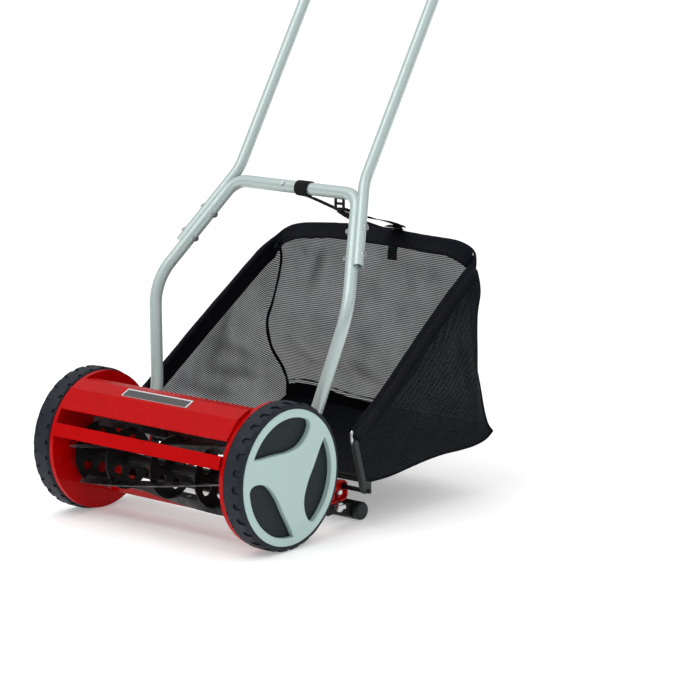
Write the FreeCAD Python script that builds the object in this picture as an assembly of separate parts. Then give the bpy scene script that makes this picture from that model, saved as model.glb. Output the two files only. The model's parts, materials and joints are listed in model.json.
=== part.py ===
import FreeCAD, Part
import math
import os

# Hand-pushed reel mower with a rear grass bag.
# X runs across the mower, +Y is the rear (handle and bag), Z is up and the floor is Z = 0.
# Everything is drawn with Y counted from the wheel axle. save() then moves it by AXLE_Y, so
# that the origin is on the floor under the middle of the whole mower.

os.makedirs("parts", exist_ok=True)

# ------------------------------------------------------------------ driving dimensions, mm
AXLE_Y = -224.25
AXLE_Z = 125.0
FIT = 0.05                      # radial clearance of every running fit

# side plates
PLATE_IN = 195.0
PLATE_OUT = 198.0
PLATE_LIP = 203.2
PLATE_R = 121.5
LIP_T = 3.0
TAIL = [(60, 92), (112, 93), (184, 81), (191, 75), (192, 52), (186, 46), (150, 44), (60, 40)]

# wheels
TYRE_R = 125.0
TYRE_IN_R = 112.5
TYRE_X = (204.4, 242.0)
LUGS = 28
RIM_R = 112.3
RIM_BORE_R = 106.0
WEB_X = (231.5, 235.2)
HUB_R = 16.0
CAP_X = (235.5, 245.0)
CAP_R = 115.0
CAP_FLANGE = 2.8
CAP_BEVEL = 1.3
SPOKES = 3
AXLE_R = 7.0
BUSH_R = 10.0

# gears: an internal ring in each wheel drives a pinion on the reel shaft
MODULE = 2.0
RING_TEETH = 45
PINION_TEETH = 12
PRESSURE = math.radians(20.0)
BACKLASH = 0.3
RING_TIP_R, RING_ROOT_R = 43.8, 47.1
PINION_TIP_R, PINION_ROOT_R = 13.7, 10.3
GEAR_X = (209.4, 221.0)
GEAR_STEP = 0.4                 # the ring starts this much further out than the pinion
GEAR_DISTANCE = MODULE * (RING_TEETH - PINION_TEETH) / 2.0
GEAR_ANGLE = math.radians(206.0)    # from +Y towards +Z, seen from the axle

# reel
REEL_Y = GEAR_DISTANCE * math.cos(GEAR_ANGLE)
REEL_Z = AXLE_Z + GEAR_DISTANCE * math.sin(GEAR_ANGLE)
REEL_R = 62.0
BLADE_DEPTH = 15.0
BLADE_T = 2.8
BLADES = 5
BLADE_END_X = 187.0
BLADE_TWIST = math.radians(64.0)
SPIDER_X = (-178.0, -104.0, 0.0, 104.0, 178.0)
SPIDER_R = 54.0
SPIDER_T = 2.5
SHAFT_R = 7.0
SHAFT_TUBE_R = 10.0
SHAFT_END_X = 223.5
BEARING_R = 15.0

# bed knife
KNIFE_GAP = 0.2
KNIFE_ANGLE = math.radians(20.0)    # behind the reel's lowest line
KNIFE_X = 190.0
KNIFE_T = 3.0
KNIFE_DEPTH = 36.0

# roller and its height adjusters
ROLLER_R = 16.0
ROLLER_Y = 233.0
ROLLER_AXLE_R = 5.0
BRACKET_X = (187.2, 191.2)
GUIDE_X = (191.4, 194.8)
ADJUST_Y = 168.0
ADJUST_Z = 36.0
ADJUST_TRAVEL = 22.0

# handle tubes
LEG_R, LEG_BORE_R = 11.0, 9.6
UPPER_R, UPPER_BORE_R = 10.0, 8.6
LEG_PATH = [(183.9, 72, 82), (183.9, 125, 192), (226, 166, 380), (142, 289, 556)]
LEG_BENDS = [150, 120, 38]
OVERLAP_AT = 0.36               # share of the leg's last run at which the upper tube starts
OVERLAP_BOLTS_AT = (0.452, 0.6875)
UPPER_RUN = 168.0               # straight run of the upper tube along the leg
CROSS_SPLIT_X = -48.0
INSERT_R = 9.5
NEST = 12.0                     # between the lower and the upper tube's centre lines
TOP_Y, TOP_Z = 558.0, 992.0
TOP_BEND = 62.0
GRIP_R = 15.5
GRIP_HALF = 78.0

# grass bag
BAG_FRONT_HALF = 250.0
BAG_TOP_HALF = 234.0
MOUTH_FRONT = (150.0, 181.0)
MOUTH_TOP = (500.0, 455.0)
BAG_REAR_LOW = (537.0, 109.0)
BAG_FLOOR_FRONT = (180.0, 84.0)
BAND_W = 28.0
BAND_T = 9.0
CLOTH_T = 2.0
WIRE_R = 3.0
BAG_ROD_Y, BAG_ROD_Z = 184.0, 69.0
BAG_ROD_R = 4.0
BAG_ROD_MID_R = 5.0             # between the side plates
BAG_ROD_MID_HALF = 206.0
BAG_ROD_NECK_R = 3.5            # where the bag hangs
BAG_ROD_NECK_X = 246.0
BAG_ROD_HALF = 260.0
CHANNEL_X = (246.5, 256.0)

# strap
STRAP_X = (8.0, 36.0)
STRAP_T = 1.6
BUCKLE_X = (74.0, 98.0)


# ------------------------------------------------------------------ helpers
def vec(x, y, z):
    return FreeCAD.Vector(x, y, z)


def save(name, *solids):
    """Write one sub-part, moved so that the origin is under the middle of the mower."""
    shape = solids[0].copy() if len(solids) == 1 else Part.makeCompound(list(solids))
    shape.translate(vec(0, AXLE_Y, 0))
    shape.exportStep("parts/" + name + ".step")


def mirrored(shape):
    return shape.mirror(vec(0, 0, 0), vec(1, 0, 0))


def save_pair(name, *solids):
    """Write a right-hand sub-part and its mirror image."""
    save(name + "_right", *solids)
    save(name + "_left", *[mirrored(s) for s in solids])


def both(solids):
    return list(solids) + [mirrored(s) for s in solids]


def rod_x(radius, x0, x1, y, z):
    return Part.makeCylinder(radius, x1 - x0, vec(x0, y, z), vec(1, 0, 0))


def ring_x(outer, inner, x0, x1, y, z):
    return rod_x(outer, x0, x1, y, z).cut(rod_x(inner, x0 - 1, x1 + 1, y, z))


def hexagon_x(across, x0, x1, y, z):
    radius = across / math.sqrt(3.0)
    corners = [(y + radius * math.cos(a), z + radius * math.sin(a))
               for a in (math.radians(60 * i) for i in range(6))]
    return prism_x(corners, x0, x1)


def face_yz(outline, x):
    points = [vec(x, y, z) for y, z in outline]
    return Part.Face(Part.makePolygon(points + points[:1]))


def prism_x(outline, x0, x1):
    """A flat outline of (y, z) points, extruded along X."""
    return face_yz(outline, x0).extrude(vec(x1 - x0, 0, 0))


def unit(v):
    return v.multiply(1.0 / v.Length)


def rod_between(start, end, radius):
    return Part.makeCylinder(radius, (end - start).Length, start, end - start)


def rounded_wire(points, bends):
    """Straight runs through the points, with an arc of the given radius at each inner one."""
    edges = []
    last = points[0]
    for before, corner, after, bend in zip(points, points[1:], points[2:], bends):
        to_before = unit(before - corner)
        to_after = unit(after - corner)
        half = to_before.getAngle(to_after) / 2.0
        cut = bend / math.tan(half)
        start = corner + to_before * cut
        end = corner + to_after * cut
        middle = corner + unit(to_before + to_after) * (bend / math.sin(half) - bend)
        edges.append(Part.LineSegment(last, start).toShape())
        edges.append(Part.Arc(start, middle, end).toShape())
        last = end
    edges.append(Part.LineSegment(last, points[-1]).toShape())
    return Part.Wire(edges)


def swept(wire, radius):
    """A solid round bar along a wire of straight runs and arcs."""
    first = wire.OrderedEdges[0]
    start = first.valueAt(first.FirstParameter)
    direction = first.tangentAt(first.FirstParameter)
    circle = Part.Wire(Part.Circle(start, direction, radius).toShape())
    return wire.makePipeShell([circle], True, True)


def bent_tube(points, bends, outer, inner=0.0):
    wire = rounded_wire(points, bends)
    tube = swept(wire, outer)
    return tube.cut(swept(wire, inner)) if inner else tube


def rounded_outline(points, radii):
    """A closed flat wire through the points, with the corners rounded."""
    edges = []
    count = len(points)
    firsts = []
    for i in range(count):
        before, corner, after = points[i - 1], points[i], points[(i + 1) % count]
        to_before = unit(before - corner)
        to_after = unit(after - corner)
        half = to_before.getAngle(to_after) / 2.0
        cut = radii[i] / math.tan(half)
        middle = corner + unit(to_before + to_after) * (radii[i] / math.sin(half) - radii[i])
        firsts.append((corner + to_before * cut, middle, corner + to_after * cut))
    for i in range(count):
        start, middle, end = firsts[i]
        edges.append(Part.Arc(start, middle, end).toShape())
        edges.append(Part.LineSegment(end, firsts[(i + 1) % count][0]).toShape())
    return Part.Wire(edges)


# ------------------------------------------------------------------ wheels
def polar(radius, degrees):
    """A point about the axle; the angle runs from straight up towards the rear."""
    a = math.radians(degrees)
    return (radius * math.sin(a), AXLE_Z + radius * math.cos(a))


def make_tyre():
    x0, x1 = TYRE_X
    body = ring_x(TYRE_R, TYRE_IN_R, x0, x1, 0, AXLE_Z)
    rims = [e for e in body.Edges if isinstance(e.Curve, Part.Circle) and e.Curve.Radius > 120]
    body = body.makeFillet(5.5, rims)
    cutters = []
    for i in range(LUGS):
        turn = 360.0 * i / LUGS
        pocket = Part.makeCylinder(6.0, 10, vec(x1 - 10, 0, TYRE_R - 3.2))
        pocket = pocket.fuse(Part.makeBox(20, 12, 10, vec(x1 - 10, -6, TYRE_R - 3.2)))
        nick = Part.makeBox(9, 7, 10, vec(x0 - 2, -3.5, TYRE_R - 3.0))
        nick.rotate(vec(0, 0, 0), vec(1, 0, 0), 180.0 / LUGS)
        for cutter in (pocket, nick):
            cutter.rotate(vec(0, 0, 0), vec(1, 0, 0), turn)
            cutter.translate(vec(0, 0, AXLE_Z))
            cutters.append(cutter)
    return body.cut(Part.makeCompound(cutters))


def gear_outline(teeth, tip_r, root_r, thickness, centre, turn):
    """Involute tooth outline. turn is the direction of one tooth's middle."""
    pitch_r = MODULE * teeth / 2.0
    base_r = pitch_r * math.cos(PRESSURE)
    involute = math.tan(PRESSURE) - PRESSURE
    half_pitch = thickness / (2.0 * pitch_r)
    flank = []
    steps = 5
    for i in range(steps + 1):
        radius = root_r + (tip_r - root_r) * i / steps
        roll = math.acos(min(1.0, base_r / radius)) if radius > base_r else 0.0
        flank.append((radius, half_pitch + involute - (math.tan(roll) - roll)))
    points = []
    for tooth in range(teeth):
        middle = turn + 2.0 * math.pi * tooth / teeth
        for radius, half in flank:
            points.append((radius, middle - half))
        for radius, half in reversed(flank):
            points.append((radius, middle + half))
    return [(centre[0] + r * math.cos(a), centre[1] + r * math.sin(a)) for r, a in points]


def make_wheel():
    """The moulded wheel: rim band, web, hub and internal ring gear in one piece."""
    web0, web1 = WEB_X
    body = ring_x(RIM_R, RIM_BORE_R, 206.0, 241.6, 0, AXLE_Z)
    body = body.fuse(ring_x(RIM_BORE_R + 1, BUSH_R, web0, web1, 0, AXLE_Z))
    body = body.fuse(ring_x(HUB_R, BUSH_R, 204.0, web1, 0, AXLE_Z))
    thick = math.pi * MODULE / 2.0 + BACKLASH / 2.0
    spaces = gear_outline(RING_TEETH, RING_ROOT_R, RING_TIP_R, thick, (0, AXLE_Z), GEAR_ANGLE)
    gear = rod_x(51.0, GEAR_X[0] + GEAR_STEP, web0 + 0.5, 0, AXLE_Z)
    gear = gear.cut(prism_x(spaces, GEAR_X[0] - 1, web0))
    gear = gear.cut(rod_x(RING_TIP_R, web0 - 1, web0 + 1, 0, AXLE_Z))
    ribs = []
    for i in range(6):
        rib = Part.makeBox(9.0, 3.0, 58.0, vec(web0 - 8.5, -1.5, 49.5))
        rib.rotate(vec(0, 0, 0), vec(1, 0, 0), 60.0 * i)
        rib.translate(vec(0, 0, AXLE_Z))
        ribs.append(rib)
    return body.multiFuse([gear] + ribs).removeSplitter()


def window_wire(x, turn):
    """One opening of the hub cap: a long outer arc and a hooked inner edge."""
    ends = [polar(101.0, turn - 63.0), polar(101.0, turn - 18.0), polar(101.0, turn + 26.0)]
    arc = Part.Arc(*[vec(x, y, z) for y, z in ends]).toShape()
    inner = [(101, 26), (97, 29.5), (84, 32), (71, 31), (59, 26.5), (50, 17), (45.5, 3), (45, -12),
             (49, -26), (56.5, -38), (67, -48.5), (82, -57.5), (101, -63)]
    spline = Part.BSplineCurve()
    spline.interpolate([vec(x, *polar(r, turn + a)) for r, a in inner])
    return Part.Wire([arc, spline.toShape()])


def make_hub_cap():
    x0, x1 = CAP_X
    body = rod_x(RIM_BORE_R - 0.5, x0, x1, 0, AXLE_Z)
    body = body.fuse(rod_x(CAP_R, x1 - CAP_FLANGE, x1, 0, AXLE_Z)).removeSplitter()
    rims = [e for e in body.Edges if isinstance(e.Curve, Part.Circle)
            and e.Curve.Radius > CAP_R - 0.1 and e.CenterOfMass.x > x1 - 0.1]
    body = body.makeFillet(2.2, rims)
    for i in range(SPOKES):
        opening = Part.Face(window_wire(x0 - 1, 360.0 * i / SPOKES))
        body = body.cut(opening.extrude(vec(x1 - x0 + 2, 0, 0)))
    window_edges = [e for e in body.Edges if e.CenterOfMass.x > x1 - 0.1
                    and (not isinstance(e.Curve, Part.Circle) or e.Curve.Radius < CAP_R - 5)]
    body = body.makeChamfer(CAP_BEVEL, window_edges)
    return body.cut(rod_x(19.0, x0 - 1, x0 + 4.5, 0, AXLE_Z))


def clip_ring(outer, inner, x0, x1, y, z):
    ring = ring_x(outer, inner, x0, x1, y, z)
    return ring.cut(Part.makeBox(x1 - x0 + 2, 3.0, outer + 2, vec(x0 - 1, y - 1.5, z)))


def make_axle_bolt():
    bolt = rod_x(AXLE_R, PLATE_IN - 6, 236.8, 0, AXLE_Z)
    bolt = bolt.fuse(hexagon_x(19.0, PLATE_IN - 6, PLATE_IN, 0, AXLE_Z))
    return bolt.cut(ring_x(AXLE_R + 1, AXLE_R - 1, 235.5, 236.3, 0, AXLE_Z))


save_pair("tyre", make_tyre())
save_pair("wheel", make_wheel())
save_pair("hub_cap", make_hub_cap())
save_pair("wheel_bush", ring_x(BUSH_R, AXLE_R + FIT, 204.0, 235.2, 0, AXLE_Z))
axle_nut = hexagon_x(19.0, PLATE_OUT, 203.2, 0, AXLE_Z).cut(rod_x(AXLE_R, 190, 210, 0, AXLE_Z))
save("axle_bolts", *both([make_axle_bolt()]))
save("axle_nuts", *both([axle_nut]))
save("axle_circlips", *both([clip_ring(AXLE_R + 3, AXLE_R - 0.9, 235.55, 236.25, 0, AXLE_Z)]))


# ------------------------------------------------------------------ reel
def blade_section(x, angle):
    """A thin upright slip of blade, standing out from the reel axis."""
    out = (math.cos(angle), math.sin(angle))
    side = (-out[1], out[0])
    corners = []
    for r, t in ((REEL_R - BLADE_DEPTH, 0.5), (REEL_R, 0.5), (REEL_R, -0.5),
                 (REEL_R - BLADE_DEPTH, -0.5)):
        corners.append(vec(x, REEL_Y + r * out[0] + t * BLADE_T * side[0],
                           REEL_Z + r * out[1] + t * BLADE_T * side[1]))
    return Part.makePolygon(corners + corners[:1])


def make_blade(index):
    sections = []
    steps = 10
    for i in range(steps + 1):
        along = i / steps - 0.5
        angle = math.radians(130.0) + 2 * math.pi * index / BLADES - BLADE_TWIST * along
        sections.append(blade_section(2 * BLADE_END_X * along, angle))
    return Part.makeLoft(sections, True, False)


def make_spider(x, blades):
    disc = ring_x(SPIDER_R, SHAFT_TUBE_R, x - SPIDER_T / 2, x + SPIDER_T / 2, REEL_Y, REEL_Z)
    for i in range(BLADES):
        a = 2 * math.pi * i / BLADES
        hole_y = REEL_Y + 31.0 * math.cos(a)
        hole_z = REEL_Z + 31.0 * math.sin(a)
        disc = disc.cut(rod_x(10.0, x - 3, x + 3, hole_y, hole_z))
    return disc.cut(blades)


def pawl_slot(margin):
    return Part.makeBox(4.0 + margin, 30.0, 4.0 + margin,
                        vec(204.8 - margin / 2, REEL_Y - 15, REEL_Z - 2 - margin / 2))


def make_reel_shaft():
    tube_end = BLADE_END_X - 3.0
    shaft = rod_x(SHAFT_R, -SHAFT_END_X, SHAFT_END_X, REEL_Y, REEL_Z)
    shaft = shaft.fuse(rod_x(SHAFT_TUBE_R, -tube_end, tube_end, REEL_Y, REEL_Z)).removeSplitter()
    groove = ring_x(SHAFT_R + 1, SHAFT_R - 1, 221.4, 222.2, REEL_Y, REEL_Z)
    for cutter in both([groove, pawl_slot(0.3)]):
        shaft = shaft.cut(cutter)
    return shaft


def make_pinion():
    """Twelve teeth, with a ratchet collar on its inner side for the pawl."""
    thick = math.pi * MODULE / 2.0 - BACKLASH / 2.0
    outline = gear_outline(PINION_TEETH, PINION_TIP_R, PINION_ROOT_R, thick,
                           (REEL_Y, REEL_Z), GEAR_ANGLE)
    body = prism_x(outline, *GEAR_X).fuse(rod_x(12.0, 204.2, GEAR_X[0], REEL_Y, REEL_Z))
    body = body.cut(rod_x(SHAFT_R + FIT, 200, 230, REEL_Y, REEL_Z))
    for i in range(6):
        notch = Part.makeBox(4.6, 2.0, 2.8, vec(204.2, REEL_Y - 1, REEL_Z + 6.4))
        notch.rotate(vec(0, REEL_Y, REEL_Z), vec(1, 0, 0), 60.0 * i)
        body = body.cut(notch)
    return body


def make_pawl():
    bar = Part.makeBox(4.0, 13.2, 4.0, vec(204.8, REEL_Y - 6.6, REEL_Z - 2))
    return bar.common(rod_x(SHAFT_R - 0.2, 200, 212, REEL_Y, REEL_Z))


blades = [make_blade(i) for i in range(BLADES)]
blade_group = Part.makeCompound(blades)
save("reel_blades", *blades)
save("reel_spiders", *[make_spider(x, blade_group) for x in SPIDER_X])
save("reel_shaft", make_reel_shaft())
save("pawls", *both([make_pawl()]))
save("shaft_circlips", *both([clip_ring(SHAFT_R + 3, SHAFT_R - 0.9, 221.45, 222.15,
                                        REEL_Y, REEL_Z)]))
save_pair("pinion", make_pinion())
save("reel_bearings", *both([ring_x(BEARING_R, SHAFT_R + FIT, 188.5, 197.5, REEL_Y, REEL_Z)]))
save("bearing_housings", *both([ring_x(21.0, BEARING_R, 188.0, PLATE_IN, REEL_Y, REEL_Z)]))


# ------------------------------------------------------------------ side plates and deck
SCREW_R = 3.0
SCREW_REACH = 14.0
GUIDE_SCREW_REACH = 6.4             # the guides' screws stop short of the roller brackets
SCREWS = [(-71, 205), (-104, 161), (4, 40), (68, 56), (130, 70), (176, 60)]
LEG_BOLTS = [(80.0, 98.7), (104.6, 150.0)]
LEG_BOLT_R = 3.0


def make_side_plate():
    plate = rod_x(PLATE_R, PLATE_IN, PLATE_OUT, 0, AXLE_Z)
    plate = plate.fuse(ring_x(PLATE_R, PLATE_R - LIP_T, PLATE_IN, PLATE_LIP, 0, AXLE_Z))
    tail = prism_x(TAIL, PLATE_IN, PLATE_OUT)
    inner = face_yz(TAIL, PLATE_OUT).makeOffset2D(-LIP_T)
    lip = prism_x(TAIL, PLATE_OUT, PLATE_LIP).cut(inner.extrude(vec(10, 0, 0)))
    lip = lip.cut(rod_x(PLATE_R - LIP_T, PLATE_OUT - 1, PLATE_LIP + 1, 0, AXLE_Z))
    plate = plate.multiFuse([tail, lip]).removeSplitter()
    holes = [rod_x(AXLE_R, 190, 210, 0, AXLE_Z), rod_x(BEARING_R, 190, 210, REEL_Y, REEL_Z),
             rod_x(BAG_ROD_MID_R, 190, 210, BAG_ROD_Y, BAG_ROD_Z)]
    holes += [rod_x(SCREW_R, 190, 210, y, z) for y, z in SCREWS]
    holes += [rod_x(LEG_BOLT_R, 190, 210, y, z) for y, z in LEG_BOLTS]
    slot_top = ADJUST_Z + ADJUST_TRAVEL + 4.0
    holes.append(Part.makeBox(20, 8.0, slot_top - 30, vec(190, ADJUST_Y - 4, 30)))
    for hole in holes:
        plate = plate.cut(hole)
    return plate


def thin_panel(outline, thickness):
    """A closed band that follows an open outline, thickened towards its right-hand side."""
    inner = []
    for i, (y, z) in enumerate(outline):
        before = outline[max(i - 1, 0)]
        after = outline[min(i + 1, len(outline) - 1)]
        dy, dz = after[0] - before[0], after[1] - before[1]
        length = math.hypot(dy, dz)
        inner.append((y + thickness * dz / length, z - thickness * dy / length))
    return list(outline) + inner[::-1]


COVER = [(-103, 198), (-76, 229), (-50, 241), (-22, 238), (2, 226)]
COVER_TAB = [(-101, 198.5), (-75.5, 227.5), (-50, 239.5), (-50, 208), (-74, 190)]
BAR = [(-123, 153), (-116, 175), (-104, 171), (-110, 149)]
BAR_TAB = [(-112, 150), (-106, 170), (-96, 168), (-96, 152)]
EDGE_X = PLATE_IN - 0.1
TAB_T = 3.0


def with_tabs(body, tab, screw):
    """End tabs at both sides, each with its screw hole."""
    tabs = both([prism_x(tab, EDGE_X - TAB_T, EDGE_X)])
    body = body.multiFuse(tabs).removeSplitter()
    for hole in both([rod_x(SCREW_R, 180, 200, *screw)]):
        body = body.cut(hole)
    return body


def make_front_bar():
    centre = (sum(p[0] for p in BAR) / 4, sum(p[1] for p in BAR) / 4)
    hollow = [(centre[0] + (y - centre[0]) * 0.72, centre[1] + (z - centre[1]) * 0.86)
              for y, z in BAR]
    bar = prism_x(BAR, -EDGE_X, EDGE_X).cut(prism_x(hollow, -200, 200))
    return with_tabs(bar, BAR_TAB, SCREWS[1])


def make_label_plate():
    """A plain plate that lies on the cover's top facet."""
    (y0, z0), (y1, z1) = COVER[1], COVER[2]
    dy, dz = y1 - y0, z1 - z0
    length = math.hypot(dy, dz)
    up = (-dz / length, dy / length)
    outline = []
    for t, h in ((0.15, 0.05), (0.85, 0.05), (0.85, 1.3), (0.15, 1.3)):
        outline.append((y0 + dy * t + up[0] * h, z0 + dz * t + up[1] * h))
    return prism_x(outline, -76, 76)


KNIFE_EDGE_R = REEL_R + KNIFE_GAP
KNIFE_Y = REEL_Y + KNIFE_EDGE_R * math.sin(KNIFE_ANGLE)
KNIFE_Z = REEL_Z - KNIFE_EDGE_R * math.cos(KNIFE_ANGLE)
CARRIER_TOP = KNIFE_Z - KNIFE_T
CARRIER = [(KNIFE_Y + 5, CARRIER_TOP), (KNIFE_Y + KNIFE_DEPTH, CARRIER_TOP), (30, 40), (21, 28.5),
           (11, 32)]
KNIFE_SCREW_X = [-150.0, -75.0, 0.0, 75.0, 150.0]
KNIFE_SCREW_Y = KNIFE_Y + 20.0


def make_knife_screws():
    screws = []
    for x in KNIFE_SCREW_X:
        shank = Part.makeCylinder(2.5, 14, vec(x, KNIFE_SCREW_Y, KNIFE_Z - 14))
        head = Part.makeCone(2.5, 4.5, 2.0, vec(x, KNIFE_SCREW_Y, KNIFE_Z - 2.0))
        screws.append(shank.fuse(head).removeSplitter())
    return screws


def make_screw(y, z, reach):
    head = rod_x(5.2, PLATE_OUT, PLATE_OUT + 3.0, y, z)
    rims = [e for e in head.Edges if e.CenterOfMass.x > PLATE_OUT + 2.9]
    head = head.makeFillet(1.5, rims[:1])
    return head.fuse(rod_x(SCREW_R, PLATE_OUT - reach, PLATE_OUT, y, z)).removeSplitter()


TIE_R = 9.0
tie = rod_x(TIE_R, -EDGE_X, EDGE_X, *SCREWS[3])
carrier = prism_x(CARRIER, -EDGE_X, EDGE_X)
knife_screws = make_knife_screws()
bed_knife = prism_x([(KNIFE_Y, KNIFE_Z), (KNIFE_Y + KNIFE_DEPTH, KNIFE_Z),
                     (KNIFE_Y + KNIFE_DEPTH, CARRIER_TOP), (KNIFE_Y + 2, CARRIER_TOP)],
                    -KNIFE_X, KNIFE_X)
for screw in knife_screws:
    carrier = carrier.cut(screw)
    bed_knife = bed_knife.cut(screw)
deck_screws = both([make_screw(y, z, SCREW_REACH) for y, z in SCREWS[:4]]
                   + [make_screw(y, z, GUIDE_SCREW_REACH) for y, z in SCREWS[4:]])
for screw in deck_screws:
    tie = tie.cut(screw)
    carrier = carrier.cut(screw)

cover = prism_x(thin_panel(COVER, 2.6), -EDGE_X, EDGE_X)
save_pair("side_plate", make_side_plate())
save("deck_cover", with_tabs(cover, COVER_TAB, SCREWS[0]))
save("front_bar", make_front_bar())
save("label_plate", make_label_plate())
save("tie_bar", tie)
save("knife_carrier", carrier)
save("bed_knife", bed_knife)
save("knife_screws", *knife_screws)
save("deck_screws", *deck_screws)


# ------------------------------------------------------------------ roller and height adjusters
def make_guide():
    """Black slide plate on the inner side of the side plate's tail."""
    outline = [(138, 78), (178, 76), (183, 64), (183, 58), (190, 46), (188, 24), (150, 22), (138, 40)]
    plate = prism_x(outline, *GUIDE_X)
    slot = [(ADJUST_Y - 3.2, ADJUST_Z - 3.4), (ADJUST_Y + 3.2, ADJUST_Z - 3.4),
            (ADJUST_Y + 3.2, ADJUST_Z + ADJUST_TRAVEL + 3.4),
            (ADJUST_Y - 3.2, ADJUST_Z + ADJUST_TRAVEL + 3.4)]
    plate = plate.cut(prism_x(slot, 190, 196))
    for y, z in SCREWS[4:]:
        plate = plate.cut(rod_x(SCREW_R, 190, 200, y, z))
    return plate.cut(rod_x(BAG_ROD_MID_R + 0.3, 190, 200, BAG_ROD_Y, BAG_ROD_Z))


def make_roller_bracket():
    outline = [(158, 24), (158, 44), (175, 44), (200, 34), (234, 27), (234, 5.2), (196, 14)]
    arm = prism_x(outline, *BRACKET_X).fuse(rod_x(11.0, *BRACKET_X, ROLLER_Y, ROLLER_R))
    arm = arm.removeSplitter().cut(rod_x(ROLLER_AXLE_R + FIT, 180, 200, ROLLER_Y, ROLLER_R))
    return arm.cut(rod_x(3.0 + FIT, 180, 200, ADJUST_Y, ADJUST_Z))


def make_roller_end():
    x0, x1 = BRACKET_X[1] + 0.4, 203.0
    end = rod_x(ROLLER_R, x0, x1, ROLLER_Y, ROLLER_R)
    rims = [e for e in end.Edges if isinstance(e.Curve, Part.Circle) and e.CenterOfMass.x > x1 - 0.1]
    end = end.makeFillet(4.5, rims)
    return end.cut(rod_x(ROLLER_AXLE_R, x0 - 1, x1 - 3, ROLLER_Y, ROLLER_R))


def make_wing_screw():
    """Clamping screw with a round head and two wings, outside the side plate."""
    head = rod_x(8.0, PLATE_LIP + 0.5, PLATE_LIP + 4.5, ADJUST_Y, ADJUST_Z)
    wing = [(ADJUST_Y - 11, ADJUST_Z - 3), (ADJUST_Y + 11, ADJUST_Z - 3),
            (ADJUST_Y + 9, ADJUST_Z + 4), (ADJUST_Y - 9, ADJUST_Z + 4)]
    wings = prism_x(wing, PLATE_LIP + 4.0, PLATE_LIP + 7.5)
    shank = rod_x(3.0, 182.0, PLATE_LIP + 1, ADJUST_Y, ADJUST_Z)
    return head.multiFuse([wings, shank]).removeSplitter()


roller_x = BRACKET_X[0] - 0.4
save("height_guides", *both([make_guide()]))
save("roller_brackets", *both([make_roller_bracket()]))
save_pair("height_screw", make_wing_screw())
clamp_nut = hexagon_x(11.0, 182.5, BRACKET_X[0], ADJUST_Y, ADJUST_Z)
save("clamp_nuts", *both([clamp_nut.cut(rod_x(3.0 + FIT, 180, 190, ADJUST_Y, ADJUST_Z))]))
save("roller", ring_x(ROLLER_R, ROLLER_AXLE_R, -roller_x, roller_x, ROLLER_Y, ROLLER_R))
save("roller_ends", *both([make_roller_end()]))
save("roller_axle", rod_x(ROLLER_AXLE_R, -200.0, 200.0, ROLLER_Y, ROLLER_R))


# ------------------------------------------------------------------ handle
leg = [vec(*p) for p in LEG_PATH]
cross = vec(0, leg[-1].y, leg[-1].z)
last_run = leg[-1] - leg[-2]
leg_direction = unit(vec(*last_run))
side = unit(vec(1, 0, 0) - leg_direction * leg_direction.x)     # square to the leg, outwards


def make_lower(end_x):
    """One lower handle tube: a bent leg and its part of the cross-bar, which ends at end_x."""
    points = leg + [vec(end_x, cross.y, cross.z)]
    return bent_tube(points, LEG_BENDS, LEG_R, LEG_BORE_R)


def upper_points():
    start = leg[-2] + last_run * OVERLAP_AT + side * NEST
    bend = start + leg_direction * UPPER_RUN
    corner = vec(bend.x, TOP_Y, TOP_Z)
    right = [start, bend, corner]
    left = [vec(-p.x, p.y, p.z) for p in reversed(right)]
    return right + left


def across(point, inner, outer, radius):
    return rod_between(point - side * inner, point + side * outer, radius)


def hex_nut(centre, direction, size, height):
    nut = Part.makeCylinder(size / math.sqrt(3.0), height, centre, direction)
    turn = FreeCAD.Rotation(vec(0, 0, 1), direction)
    corners = [centre + turn.multVec(vec(size / math.sqrt(3.0) * math.cos(math.radians(60 * i)),
                                         size / math.sqrt(3.0) * math.sin(math.radians(60 * i)), 0))
               for i in range(6)]
    hexagon = Part.Face(Part.makePolygon(corners + corners[:1])).extrude(direction * height)
    return nut.common(hexagon)


BOLT_R = 3.0
SPLIT_SCREW_X = -22.0
split_direction = unit(vec(0, -leg_direction.z, leg_direction.y))
split_centre = vec(SPLIT_SCREW_X, cross.y, cross.z)
split_screw = rod_between(split_centre - split_direction * 12.5, split_centre + split_direction * LEG_R,
                          2.4)
split_head = Part.makeCylinder(4.6, 2.6, split_centre + split_direction * (LEG_R - 0.4),
                               split_direction)
joint_points = [leg[-2] + last_run * t for t in OVERLAP_BOLTS_AT]
joint_bolts, joint_nuts = [], []
for point in joint_points:
    shank = across(point, LEG_R + 5.5, NEST + UPPER_R, BOLT_R)
    head = Part.makeCylinder(6.0, 3.6, point + side * (NEST + UPPER_R - 0.6), side)
    joint_bolts.append(shank.fuse(head).removeSplitter())
    nut = hex_nut(point - side * (LEG_R + 4.6), side, 10.0, 5.0)
    joint_nuts.append(nut.cut(across(point, 30, 0, BOLT_R)))

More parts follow.
